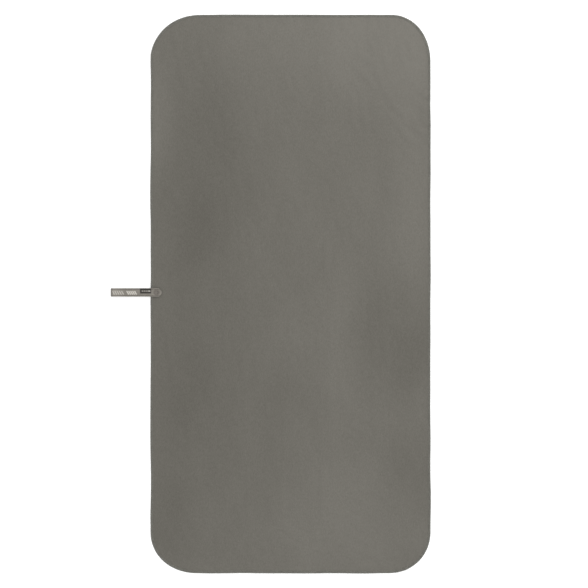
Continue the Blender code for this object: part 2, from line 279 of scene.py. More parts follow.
def makeSuede():
    look = suedeLook
    material, tree, shader = newMaterial(
        "microfibreSuede", Roughness=0.92, Sheen_Weight=0.16, Sheen_Roughness=0.45, IOR=1.35
    )
    shader.inputs["Sheen Tint"].default_value = (0.86, 0.84, 0.79, 1)
    place = addNode(tree, "TexCoord").outputs["Object"]
    combed = addNode(tree, "VectorMath", {0: place, 1: (1.0, 0.5, 1.0)}, operation="MULTIPLY").outputs[0]
    mottle = useGroup(
        tree,
        mottleGroup,
        {
            "Vector": combed,
            "Patch Size": look["patchSize"],
            "Patch Weight": 0.30,
            "Fibre Size": look["fibreSize"],
            "Fibre Weight": 0.70,
        },
    )
    grain = useGroup(
        tree,
        mottleGroup,
        {
            "Vector": combed,
            "Patch Size": 0.0009,
            "Patch Weight": 0.60,
            "Fibre Size": look["grainSize"],
            "Fibre Weight": 0.90,
        },
    )
    napAndLightTone = mathNode(tree, "ADD", mottle["Tone"], look["middle"])
    napAndLightTone = mathNode(tree, "ADD", grain["Tone"], napAndLightTone)
    # the strokes paint the nap's lie together with light and shade, lighter towards the top right and
    # darker towards the bottom left
    for x, y, halfWide, halfLong, change in look["napAndLightStrokes"]:
        moved = addNode(tree, "VectorMath", {0: place, 1: (x, y, 0)}, operation="SUBTRACT").outputs[0]
        shaped = addNode(
            tree, "VectorMath", {0: moved, 1: (1 / halfWide, 1 / halfLong, 0)}, operation="MULTIPLY"
        ).outputs[0]
        away = addNode(tree, "VectorMath", {0: shaped}, operation="LENGTH").outputs["Value"]
        near = fade(tree, away, 1.0, 0.0)
        napAndLightTone = mathNode(tree, "MULTIPLY_ADD", near, change, napAndLightTone)
    napAndLightTone = mathNode(tree, "MULTIPLY", napAndLightTone, 1.0, clamp=True)
    tree.links.new(mixColour(tree, napAndLightTone, look["darkNapAndShade"], look["paleNapAndLight"]), shader.inputs["Base Color"])
    pile = mathNode(tree, "MULTIPLY_ADD", grain["Height"], 0.6, mottle["Height"])
    setBump(tree, shader, pile, 0.00022, 0.8)
    return material


def makeThread(name, dark, light):
    material, tree, shader = newMaterial(name, Roughness=0.72, Sheen_Weight=0.12, IOR=1.4)
    place = addNode(tree, "TexCoord").outputs["Object"]
    mottle = useGroup(tree, mottleGroup, {"Vector": place, "Patch Size": 0.006, "Fibre Size": 0.00025})
    share = mathNode(tree, "MULTIPLY_ADD", mottle["Tone"], 1.4, 0.5, clamp=True)
    tree.links.new(mixColour(tree, share, dark, light), shader.inputs["Base Color"])
    setBump(tree, shader, mottle["Height"], 0.00004)
    return material


tapeLook = {
    "width": freeHigh.y - freeLow.y,
    "thickness": 0.0006,
    "ribPitch": 0.0008,
    "ribRelief": 0.000025,
    "rowsPerRib": 4,
    "columns": 18,
    "tipChamfer": 0.006,
    "tipRound": 0.0016,
    "sag": 0.0004,
    "rampInset": 0.00235,
    "rampLength": 0.012,
    "foldTurn": 0.0016,  # the fold turns within this much either side of its middle
    "warpPitch": 0.00045,
    "dark": (0.104, 0.095, 0.081, 1),
    "light": (0.222, 0.2045, 0.178, 1),
    "pale": (0.271, 0.253, 0.225, 1),
    "line": (0.070, 0.063, 0.053, 1),
    "print": (0.56, 0.535, 0.485, 1),
    "lineAt": 0.0066,
    "lineHalf": 0.0010,
    "dashPitch": 0.0062,
    "paleFromBack": 0.075,  # the weave is paler from here back from the tip, and palest at palestBack
    "palestBack": 0.105,
    # plain slanted bars printed on it, from the fold to the patch: start back from the tip, pitch,
    # bar's share of the pitch, strength
    "barRuns": [(0.1045, 0.0049, 0.46, 0.66), (0.0741, 0.0042, 0.66, 0.90)],
    "barCount": 5,
    "barCentre": -0.0008,
    "barHalfHeight": 0.0038,
    "barSlant": 0.55,
    "paintedShadeBack": 0.1083,  # painted shade at the fold, where the tape turns down from the light, back from the tip
    "paintedShadeHalf": 0.0045,
    "paintedShadeDepth": 0.6,
}


def makeTapeWeb(length):
    look = tapeLook
    material, tree, shader = newMaterial("tapeWeb", Roughness=0.7, Sheen_Weight=0.12, IOR=1.4)
    place = addNode(tree, "UVMap", uv_map="alongTape").outputs["UV"]
    parts = addNode(tree, "SeparateXYZ", {"Vector": place}).outputs
    weave = useGroup(
        tree,
        weaveGroup,
        {"Vector": place, "Weft Pitch": look["ribPitch"] / 2, "Warp Pitch": look["warpPitch"]},
    )
    mottle = useGroup(tree, mottleGroup, {"Vector": place, "Patch Size": 0.010, "Fibre Size": 0.0004})
    paler = fade(tree, parts["X"], length - look["paleFromBack"], length - look["palestBack"])
    tone = mathNode(tree, "MULTIPLY_ADD", mottle["Tone"], 0.9, 0.75, clamp=True)
    colour = mixColour(tree, tone, look["dark"], look["light"])
    colour = mixColour(tree, mathNode(tree, "MULTIPLY", paler, 0.85), colour, look["pale"])
    outside = addNode(tree, "Attribute", attribute_name="outsideFace").outputs["Fac"]
    for start, pitch, share, strength in look["barRuns"]:
        bars = useGroup(
            tree,
            barsGroup,
            {
                "Vector": place,
                "Start": length - start,
                "Count": look["barCount"],
                "Centre": look["barCentre"],
                "Half Height": look["barHalfHeight"],
                "Pitch": pitch,
                "Share": share,
                "Slant": look["barSlant"],
            },
        )
        ink = mathNode(tree, "MULTIPLY", mathNode(tree, "MULTIPLY", bars["Mask"], strength), outside)
        colour = mixColour(tree, ink, colour, look["print"])
    # painted shade at the fold: the weave is darkened towards the dark yarn colour
    fromPaintedShade = distanceFrom(tree, parts["X"], length - look["paintedShadeBack"])
    paintedShade = fade(tree, fromPaintedShade, look["paintedShadeHalf"], look["paintedShadeHalf"] * 0.3)
    colour = mixColour(tree, mathNode(tree, "MULTIPLY", paintedShade, look["paintedShadeDepth"]), colour, look["dark"])
    across = mathNode(tree, "ABSOLUTE", parts["Y"])
    fromLine = distanceFrom(tree, across, look["lineAt"])
    line = fade(tree, fromLine, look["lineHalf"], look["lineHalf"] * 0.6, kind="LINEAR")
    folded = addNode(tree, "CombineXYZ", {"X": parts["X"], "Y": across}).outputs[0]
    dashes = useGroup(
        tree,
        barsGroup,
        {
            "Vector": folded,
            "Start": 0.0,
            "Count": 1000.0,
            "Centre": look["lineAt"],
            "Half Height": look["lineHalf"] * 0.7,
            "Pitch": look["dashPitch"],
            "Share": 0.5,
            "Slant": 0.0,
        },
    )
    line = mathNode(tree, "MULTIPLY", line, mathNode(tree, "MULTIPLY_ADD", dashes["Mask"], 0.18, 0.45))
    colour = mixColour(tree, line, colour, look["line"])
    # painted shade in the hollows between the yarns
    colour = mixColour(tree, mathNode(tree, "MULTIPLY", weave["Gap Shade"], 0.30), colour, look["line"])
    tree.links.new(colour, shader.inputs["Base Color"])
    setBump(tree, shader, weave["Height"], 0.00007, 0.8)
    return material


patchLook = {
    "base": (0.0175, 0.0155, 0.0132, 1),
    "light": (0.048, 0.043, 0.037, 1),
    "dashes": (0.27, 0.255, 0.230, 1),
    "tab": (0.40, 0.383, 0.35, 1),
    "ribs": 36,
    "rows": 14,
    "relief": 0.00003,
    "thickness": 0.00024,
    "lift": 0.00008,
    "borderRise": 0.00006,
    "borderWidth": 0.0007,
    # plain marks: start as a share of half the patch, how many, pitch, finish
    "marks": [(-0.72, 3.0, 0.0046, "dashes"), (0.47, 1.0, 0.0060, "tab")],
    "markCentre": -0.0005,
    "markHalfHeight": 0.0015,
    "markShare": 0.78,
}


def makePatchWeb():
    look = patchLook
    material, tree, shader = newMaterial("patchWeb", Roughness=0.7, Sheen_Weight=0.04, IOR=1.33)
    place = addNode(tree, "UVMap", uv_map="onPatch").outputs["UV"]
    weave = useGroup(tree, weaveGroup, {"Vector": place, "Weft Pitch": 0.00033, "Warp Pitch": 0.00033})
    mottle = useGroup(tree, mottleGroup, {"Vector": place, "Patch Size": 0.004, "Fibre Size": 0.0002})
    tone = mathNode(tree, "MULTIPLY_ADD", mottle["Tone"], 0.8, 0.45, clamp=True)
    colour = mixColour(tree, tone, look["base"], look["light"])
    half = (patchHigh.x - patchLow.x) / 2
    for start, count, pitch, finish in look["marks"]:
        bars = useGroup(
            tree,
            barsGroup,
            {
                "Vector": place,
                "Start": start * half,
                "Count": count,
                "Centre": look["markCentre"],
                "Half Height": look["markHalfHeight"],
                "Pitch": pitch,
                "Share": look["markShare"],
                "Slant": 0.0,
            },
        )
        colour = mixColour(tree, mathNode(tree, "MULTIPLY", bars["Mask"], 0.9), colour, look[finish])
    # painted shade in the hollows between the yarns
    colour = mixColour(tree, mathNode(tree, "MULTIPLY", weave["Gap Shade"], 0.4), colour, look["base"])
    tree.links.new(colour, shader.inputs["Base Color"])
    setBump(tree, shader, weave["Height"], 0.00005, 0.8)
    return material


snapLook = {
    "dark": (0.098, 0.084, 0.070, 1),
    "light": (0.128, 0.112, 0.094, 1),
    # colour of the painted shade in the corner of the cap's dish
    "paintedShade": (0.046, 0.039, 0.032, 1),
    "paintedShadeRadius": 0.0029,
    "paintedShadeShift": 0.0003,
    "paintedShadeHalf": 0.0011,
    "paintedShadeCore": 0.0002,
}


def makeSnapPlastic():
    look = snapLook
    material, tree, shader = newMaterial(
        "snapPlastic", Roughness=0.38, IOR=1.45, Coat_Weight=0.10, Coat_Roughness=0.25
    )
    place = addNode(tree, "TexCoord").outputs["Object"]
    mottle = useGroup(tree, mottleGroup, {"Vector": place, "Patch Size": 0.003, "Fibre Size": 0.00035})
    share = mathNode(tree, "MULTIPLY_ADD", mottle["Tone"], 0.8, 0.5, clamp=True)
    colour = mixColour(tree, share, look["dark"], look["light"])
    # painted shade in the corner of the cap's dish, darker on the right side, where the dish's inner wall
    # is turned from the light
    level = addNode(tree, "VectorMath", {0: place, 1: (1, 1, 0)}, operation="MULTIPLY").outputs[0]
    reach = addNode(
        tree, "VectorMath", {0: level, 1: (snapX + look["paintedShadeShift"], tapeY, 0)}, operation="DISTANCE"
    ).outputs["Value"]
    fromPaintedShade = distanceFrom(tree, reach, look["paintedShadeRadius"])
    paintedShade = fade(tree, fromPaintedShade, look["paintedShadeHalf"], look["paintedShadeCore"])
    placeX = addNode(tree, "SeparateXYZ", {"Vector": place}).outputs["X"]
    # the painted shade is strongest on the right, the side of the dish turned from the light
    shadedSide = fade(tree, placeX, snapX, snapX + look["paintedShadeRadius"])
    paintedShade = mathNode(tree, "MULTIPLY", paintedShade, mathNode(tree, "MULTIPLY_ADD", shadedSide, 0.65, 0.25))
    tree.links.new(mixColour(tree, paintedShade, colour, look["paintedShade"]), shader.inputs["Base Color"])
    rough = mathNode(tree, "MULTIPLY_ADD", mottle["Tone"], 0.25, 0.38)
    tree.links.new(rough, shader.inputs["Roughness"])
    setBump(tree, shader, mottle["Height"], 0.00001, 0.5)
    return material


suede = makeSuede()
edgeThread = makeThread("edgeThread", (0.150, 0.1485, 0.130, 1), (0.238, 0.235, 0.208, 1))
sewThread = makeThread("sewThread", (0.090, 0.083, 0.071, 1), (0.158, 0.146, 0.127, 1))
snapPlastic = makeSnapPlastic()
patchWeb = makePatchWeb()
print("materials ready")


def addPiece(name, bm, material, smooth=True):
    mesh = bpy.data.meshes.new(name)
    bm.to_mesh(mesh)
    bm.free()
    mesh.materials.append(material)
    if smooth:
        mesh.shade_smooth()
    piece = bpy.data.objects.new(name, mesh)
    scene.collection.objects.link(piece)
    return piece


def bakeModifiers(piece):
    shown = bpy.context.evaluated_depsgraph_get()
    shown.update()
    mesh = bpy.data.meshes.new_from_object(piece.evaluated_get(shown))
    piece.modifiers.clear()
    piece.data = mesh


sheetCut = {
    # the four corners as they were really cut: reach along the short side and along the long side
    "corners": {
        "topLeft": (0.1055, 0.096),
        "topRight": (0.081, 0.100),
        "bottomLeft": (0.097, 0.0845),
        "bottomRight": (0.0889, 0.0887),
    },
    "ease": 0.0007,  # each long edge was trimmed this much outside the pattern
    "spacing": 0.008,
    "thickness": 0.0007,
    "rimLift": 0.0008,
    "rimRun": 0.016,
    "waver": 0.0012,
    "waverLength": 0.085,
    "slack": 0.012,
    "frames": 24,
    "mostRise": 0.009,
    # two waves of slack: how often in x and y, layer of noise, weight
    "ripples": [(6, 4, 3.0, 1.0), (13, 9, 8.0, 0.5)],
    "bumpRun": 0.025,  # how far the sheet takes to come down beside the tape
    "sewnRun": 0.003,
    "sewnLeast": 0.4,
    "waverRun": 0.05,
    "plateau": (clothHigh.z - clothLow.z) - 0.0007,
}
halfWidth = (clothHigh.x - clothLow.x) / 2 + sheetCut["ease"]
halfLength = (clothHigh.y - clothLow.y) / 2
tapeEnd = fixedHigh.x


def cornerReach(x, y):
    end = "top" if y > 0 else "bottom"
    side = "Right" if x > 0 else "Left"
    return sheetCut["corners"][end + side]


def intoCorner(x, y):
    # how far into the rounded corner a point lies, 0 to 1 each way, below 0 outside it
    reachX, reachY = cornerReach(x, y)
    return (abs(x) - halfWidth) / reachX + 1, (abs(y) - halfLength) / reachY + 1


def rimDistance(x, y):
    u, v = intoCorner(x, y)
    if u <= 0 or v <= 0:
        return min(halfWidth - abs(x), halfLength - abs(y))
    reachX, reachY = cornerReach(x, y)
    return (1 - math.hypot(u, v)) * (reachX * u + reachY * v) / (u + v)


def roundCorner(vert):
    u, v = intoCorner(vert.co.x, vert.co.y)
    if u > 0 and v > 0:
        reachX, reachY = cornerReach(vert.co.x, vert.co.y)
        x = halfWidth - reachX + reachX * u * math.sqrt(1 - v * v / 2)
        y = halfLength - reachY + reachY * v * math.sqrt(1 - u * u / 2)
        vert.co.x = math.copysign(x, vert.co.x)
        vert.co.y = math.copysign(y, vert.co.y)


def overTape(x, y, run):
    # 1 over the sewn tape and its margin, down to 0 a run away from it
    margin = 0.001
    side = abs(y - tapeY) - tapeLook["width"] / 2 - margin
    return smoothStep(1 - (x - tapeEnd - margin) / run) * smoothStep(1 - side / run)


clothFeel = {
    "quality": 6,
    "mass": 0.1,
    "air_damping": 2.0,
    "tension_stiffness": 20,
    "compression_stiffness": 20,
    "bending_stiffness": 0.6,
    "bending_damping": 1.0,
}


def layTowel(piece, sewn):
    # the sheet falls onto the ground from a few millimetres, held where the tape is sewn to it
    solverGap = 0.002
    floorMesh = bpy.data.meshes.new("landing")
    bm = bmesh.new()
    bmesh.ops.create_grid(bm, x_segments=1, y_segments=1, size=1.0)
    bm.to_mesh(floorMesh)
    bm.free()
    landing = bpy.data.objects.new("landing", floorMesh)
    landing.location.z = sheetCut["thickness"] / 2 - solverGap
    scene.collection.objects.link(landing)
    landing.modifiers.new("ground", "COLLISION")
    landing.collision.thickness_outer = solverGap / 2
    landing.collision.cloth_friction = 8.0
    held = piece.vertex_groups.new(name="sewn")
    held.add(sewn, 1.0, "REPLACE")
    cloth = piece.modifiers.new("cloth", "CLOTH")
    for setting, value in clothFeel.items():
        setattr(cloth.settings, setting, value)
    cloth.settings.vertex_group_mass = "sewn"
    cloth.collision_settings.distance_min = solverGap / 2
    cloth.collision_settings.collision_quality = 3
    cloth.collision_settings.use_self_collision = False
    cloth.point_cache.frame_end = sheetCut["frames"]
    for step in range(1, sheetCut["frames"] + 1):
        scene.frame_set(step)
    bakeModifiers(piece)
    scene.frame_set(1)
    bpy.data.objects.remove(landing)


def makeTowelSheet():
    cut = sheetCut
    bm = bmesh.new()
    bmesh.ops.create_grid(
        bm,
        x_segments=round(2 * halfWidth / cut["spacing"]),
        y_segments=round(2 * halfLength / cut["spacing"]),
        size=1.0,
    )
    bmesh.ops.scale(bm, vec=(halfWidth, halfLength, 1.0), verts=bm.verts)
    sewn = []
    for vert in bm.verts:
        roundCorner(vert)
        x, y = vert.co.x, vert.co.y
        if overTape(x, y, cut["sewnRun"]) > cut["sewnLeast"]:
            sewn.append(vert.index)
        raised = overTape(x, y, cut["bumpRun"])
        ripple = 0.5
        for oftenX, oftenY, layer, weight in cut["ripples"]:
            ripple += weight * noise.noise(Vector((x * oftenX, y * oftenY, layer)))
        vert.co.z = cut["thickness"] / 2 + cut["plateau"] * raised + (1 - raised) * cut["slack"] * ripple
    rest = [vert.co.copy() for vert in bm.verts]
    piece = addPiece("towelSheet", bm, suede)
    layTowel(piece, sewn)
    for vert, start in zip(piece.data.vertices, rest):
        # the cut's own outline is kept, with the small waver that sewing leaves in an edge
        edge = smoothStep(1 - rimDistance(start.x, start.y) / cut["waverRun"])
        spot = start / cut["waverLength"]
        shift = noise.noise_vector(Vector((spot.x, spot.y, 7.0))) * cut["waver"] * edge
        rise = 0.0
        rise = min(max(vert.co.z - cut["thickness"] / 2, 0.0), cut["mostRise"])
        raised = overTape(start.x, start.y, cut["bumpRun"])
        rim = cut["rimLift"] * smoothStep(1 - rimDistance(start.x, start.y) / cut["rimRun"])
        low = rim + (1 - raised) * rise
        ground = cut["thickness"] / 2 + low + (cut["plateau"] - low) * raised
        vert.co = (start.x + shift.x, start.y + shift.y, ground)
    finer = piece.modifiers.new("finer", "SUBSURF")
    finer.levels = finer.render_levels = 1
    bakeModifiers(piece)
    return piece


towel = makeTowelSheet()
print("towel laid, vertices", len(towel.data.vertices))

surface = BVHTree.FromPolygons(
    [vert.co.copy() for vert in towel.data.vertices],
    [tuple(face.vertices) for face in towel.data.polygons],
)


def surfaceHeight(x, y):
    hit = surface.ray_cast(Vector((x, y, 0.1)), Vector((0, 0, -1)))[0]
    if hit is None:
        hit = surface.find_nearest(Vector((x, y, 0.0)))[0]
    return hit.z


def walkRim(mesh):
    # the sheet's outline as one closed run of points
    bm = bmesh.new()
    bm.from_mesh(mesh)
    edge = next(e for e in bm.edges if e.is_boundary)
    start = vert = edge.verts[0]
    points = []
    while True:
        points.append(vert.co.copy())
        vert = edge.other_vert(vert)
        if vert == start:
            break
        edge = next(e for e in vert.link_edges if e.is_boundary and e != edge)
    bm.free()
    return points


class Rim:
    def __init__(self, points):
        self.points = points
        self.marks = [0.0]
        for a, b in zip(points, points[1:] + points[:1]):
            self.marks.append(self.marks[-1] + (b - a).length)
        self.length = self.marks[-1]
        area = sum(a.x * b.y - b.x * a.y for a, b in zip(points, points[1:] + points[:1]))
        self.side = 1 if area > 0 else -1

    def at(self, distance):
        distance %= self.length
        low, high = 0, len(self.points)
        while high - low > 1:
            half = (low + high) // 2
            if self.marks[half] <= distance:
                low = half
            else:
                high = half
        a, b = self.points[low], self.points[(low + 1) % len(self.points)]
        share = (distance - self.marks[low]) / (self.marks[low + 1] - self.marks[low])
        along = (b - a).normalized()
        return a.lerp(b, share), Vector((-along.y, along.x, 0)) * self.side


rim = Rim(walkRim(towel.data))
solid = towel.modifiers.new("thickness", "SOLIDIFY")
solid.thickness = sheetCut["thickness"]
solid.offset = 0
bakeModifiers(towel)
towel.data.shade_smooth()
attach(towel, "towel")
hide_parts("towel_cloth")
overlockCut = {
    "pitch": 0.0020,
    "needleInset": 0.0044,
    "radius": 0.0003,
    "rise": 0.00016,
    "jitter": 0.00014,
    "underShare": 0.86,  # the lower looper's thread lies closer to the cloth
}


def threadPiece(name, runs, radius, material, closed=False, sides=1):
    curve = bpy.data.curves.new(name, "CURVE")
    curve.dimensions = "3D"
    curve.bevel_depth = radius
    curve.bevel_resolution = sides
    curve.use_fill_caps = not closed
    for points in runs:
        spline = curve.splines.new("POLY")
        spline.points.add(len(points) - 1)
        for slot, point in zip(spline.points, points):
            slot.co = (*point, 1)
        spline.use_cyclic_u = closed
    holder = bpy.data.objects.new(name + "Line", curve)
    scene.collection.objects.link(holder)
    shown = bpy.context.evaluated_depsgraph_get()
    mesh = bpy.data.meshes.new_from_object(holder.evaluated_get(shown))
    bpy.data.objects.remove(holder)
    bpy.data.curves.remove(curve)
    bm = bmesh.new()
    bm.from_mesh(mesh)
    bpy.data.meshes.remove(mesh)
    bmesh.ops.remove_doubles(bm, verts=bm.verts, dist=1e-7)
    bmesh.ops.recalc_face_normals(bm, faces=bm.faces)
    return addPiece(name, bm, material)


def overlockPoint(distance, inset, height):
    spot, inward = rim.at(distance)
    place = spot + inward * inset
    middle = surfaceHeight(place.x, place.y) if inset > 0 else spot.z
    return Vector((place.x, place.y, middle + height))


def sewOverlock():
    cut = overlockCut
    half = sheetCut["thickness"] / 2
    count = round(rim.length / cut["pitch"])
    pitch = rim.length / count
    top = half + cut["radius"]
    # one stitch of each looper: along the edge in pitches, inset, height over the cloth's middle
    upper = [
        (0.00, cut["needleInset"] - 0.0002, top),
        (0.10, cut["needleInset"] - 0.0010, top + cut["rise"]),
        (0.28, 0.0014, top + cut["rise"]),
        (0.40, 0.0002, top * 0.95),
        (0.50, -0.00018, top * 0.3),
        (0.60, 0.0002, top * 0.95),
        (0.72, 0.0014, top + cut["rise"] * 0.5),
        (0.90, cut["needleInset"] - 0.0010, top + cut["rise"] * 0.5),
    ]
    needle = [
        (0.00, cut["needleInset"], half * 0.4),
        (0.15, cut["needleInset"], top + 0.0001),
        (0.50, cut["needleInset"], top + 0.00018),
        (0.85, cut["needleInset"], top + 0.0001),
    ]
    upperPath, lowerPath, needlePath = [], [], []
    for stitch in range(count):
        wobble = [noise.noise(Vector((stitch * 0.73, layer, 1.0))) * cut["jitter"] for layer in (1, 5, 9)]
        for along, inset, height in upper:
            place = (stitch + along) * pitch + wobble[0]
            upperPath.append(overlockPoint(place, inset + wobble[1], height))
            under = (stitch + 0.5 + along) * pitch + wobble[2]
            lowerPath.append(overlockPoint(under, inset + wobble[0], -height * cut["underShare"]))
        for along, inset, height in needle:
            needlePath.append(overlockPoint((stitch + along) * pitch, inset + 0.0003, height))
    pieces = []
    for name, path, node in (
        ("upperLooperThread", upperPath, "edge_thread_upper"),
        ("lowerLooperThread", lowerPath, "edge_thread_lower"),
        ("edgeNeedleThread", needlePath, "edge_thread_needle"),
    ):
        piece = threadPiece(name, [path], cut["radius"], edgeThread, closed=True)
        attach(piece, "towel")
        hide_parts(node)
        pieces.append(piece)
    print("overlock sewn, stitches", count)
    return pieces


sewOverlock()


def tapeRoute():
    # middle line of the tape, from its sewn end out, round the fold and back to its tip
    half = (freeHigh.z - socketHigh.z - layerGap) / 2
    sewnHeight = bobbinHigh.z + layerGap + half
    high = freeHigh.z - half
    foldRadius = freeHigh.z / 2
    foldX = freeLow.x + foldRadius
    rampTop = clothLow.x - tapeLook["rampInset"]
    rampFoot = rampTop - tapeLook["rampLength"]
    steps = 24
    route = [Vector((fixedHigh.x, 0, sewnHeight))]
    for step in range(steps + 1):
        share = step / steps
        height = sewnHeight + (half - sewnHeight) * smoothStep(share)
        route.append(Vector((rampTop + (rampFoot - rampTop) * share, 0, height)))
    reach = foldRadius - half
    for step in range(steps + 1):
        angle = -math.pi / 2 - math.pi * step / steps
        height = foldRadius + reach * math.sin(angle)
        route.append(Vector((foldX + reach * math.cos(angle), 0, height)))
    snapEdge = capLow.x
    for step in range(1, steps + 1):
        share = step / steps
        sag = tapeLook["sag"] * math.sin(math.pi * share) ** 2
        route.append(Vector((foldX + (snapEdge - foldX) * share, 0, high - sag)))
    route.append(Vector((freeHigh.x, 0, high)))
    return route


def tipNarrowing(left, across):
    # the cut corners of the tip: how far across a yarn runs, this much of the tape being left
    cut = tapeLook
    half = cut["width"] / 2
    across *= min(1.0, (half - cut["tipChamfer"] + left) / half)
    corner = max(0.0, 1 - left / cut["tipRound"])
    return across * (1 - 0.35 * corner ** 2)


def makeLoopTape():
    cut = tapeLook
    route = tapeRoute()
    marks = [0.0]
    for a, b in zip(route, route[1:]):
        marks.append(marks[-1] + (b - a).length)
    length = marks[-1]
    rows = round(length / cut["ribPitch"]) * cut["rowsPerRib"]
    bm = bmesh.new()
    bmesh.ops.create_grid(bm, x_segments=rows, y_segments=cut["columns"], size=0.5)
    uvLayer = bm.loops.layers.uv.new("alongTape")
    flat = {}
    for vert in bm.verts:
        s = (vert.co.x + 0.5) * length
        flat[vert] = (s, tipNarrowing(length - s, vert.co.y * cut["width"]))
    for face in bm.faces:
        for loop in face.loops:
            loop[uvLayer].uv = flat[loop.vert]
    index = 0
    for vert in sorted(bm.verts, key=lambda v: flat[v][0]):
        s, across = flat[vert]
        while index < len(marks) - 2 and marks[index + 1] < s:
            index += 1
        a, b = route[index], route[index + 1]
        along = (b - a).normalized()
        outward = Vector((along.z, 0, -along.x))
        middle = a.lerp(b, (s - marks[index]) / (marks[index + 1] - marks[index]))
        vert.co = middle + outward * cut["ribRelief"] * math.cos(math.tau * s / cut["ribPitch"])
        vert.co.y = tapeY + across
    piece = addPiece("loopTape", bm, makeTapeWeb(length))
    solid = piece.modifiers.new("thickness", "SOLIDIFY")
    solid.thickness = cut["thickness"]
    solid.offset = 0
    bakeModifiers(piece)
    piece.data.shade_smooth()
    # the print lies on the upper run only, on the face that is outside once folded
    outside = piece.data.attributes.new("outsideFace", "FLOAT", "POINT")
    outside.data.foreach_set("value", [float(vert.normal.z > 0.3) for vert in piece.data.vertices])
    middle = (fixedHigh.z + freeLow.z) / 2
    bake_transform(piece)
    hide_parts("loop_tape_fixed", "loop_tape_free")
    print("tape woven, mm", round(length * 1000, 1))


makeLoopTape()


def turnPiece(name, outline, material, steps=64, sharp=35, edge=0.00008):
    # outline is (radius, height) points, turned about the press stud's axis
    bm = bmesh.new()
    verts = [bm.verts.new((radius, 0, height)) for radius, height in outline]
    edges = [bm.edges.new(pair) for pair in zip(verts, verts[1:])]
    if outline[0][0] > 0:
        edges.append(bm.edges.new((verts[-1], verts[0])))
    bmesh.ops.spin(
        bm, geom=verts + edges, cent=(0, 0, 0), axis=(0, 0, 1), angle=math.tau, steps=steps, use_merge=True
    )
    bmesh.ops.remove_doubles(bm, verts=bm.verts, dist=1e-7)
    bmesh.ops.recalc_face_normals(bm, faces=bm.faces)
    bm.normal_update()
    limit = math.radians(sharp)
    rims = [e for e in bm.edges if len(e.link_faces) == 2 and e.calc_face_angle() > limit]
    bmesh.ops.bevel(
        bm, geom=rims, offset=edge, segments=2, profile=0.5, affect="EDGES", material=-1, clamp_overlap=True
    )
    bmesh.ops.translate(bm, verts=bm.verts, vec=(snapX, tapeY, 0))
    return addPiece(name, bm, material)


snapCut = {
    "capRim": 0.0004,
    "dish": 0.0033,
    "dishDepth": 0.0005,
    "crownSteps": 8,
    "post": 0.001,
    "rivet": 0.0016,
    "rivetHeight": 0.00025,
    "backHead": 0.0009,
    "backEdge": 0.00045,
    "backRound": (0.0003, 0.00012, 0.0008),  # the back cap's lower rim: in, up, in again
    "knob": 0.0023,
    "knobMouth": 0.00185,
    "knobRound": 0.00012,
    "knobLip": 0.00045,
    "knobBulge": 0.0008,
    "neck": 0.00035,
    "neckRise": 0.00025,
    "baseThickness": 0.0007,
    "groove": (0.0012, 0.001, 0.0002),  # in from the stud's rim
    "grooveDepth": 0.00015,
    "bore": 0.00125,
    "wallInner": 0.0036,
    "wallRound": 0.0002,
    "roof": 0.0005,
    "petals": 4,
    "petalGap": 14,
    "petalInner": 0.00255,
    "petalOuter": 0.0031,
    "petalSink": 0.00002,
    "petalFoot": (0.0003, 0.00015),
}


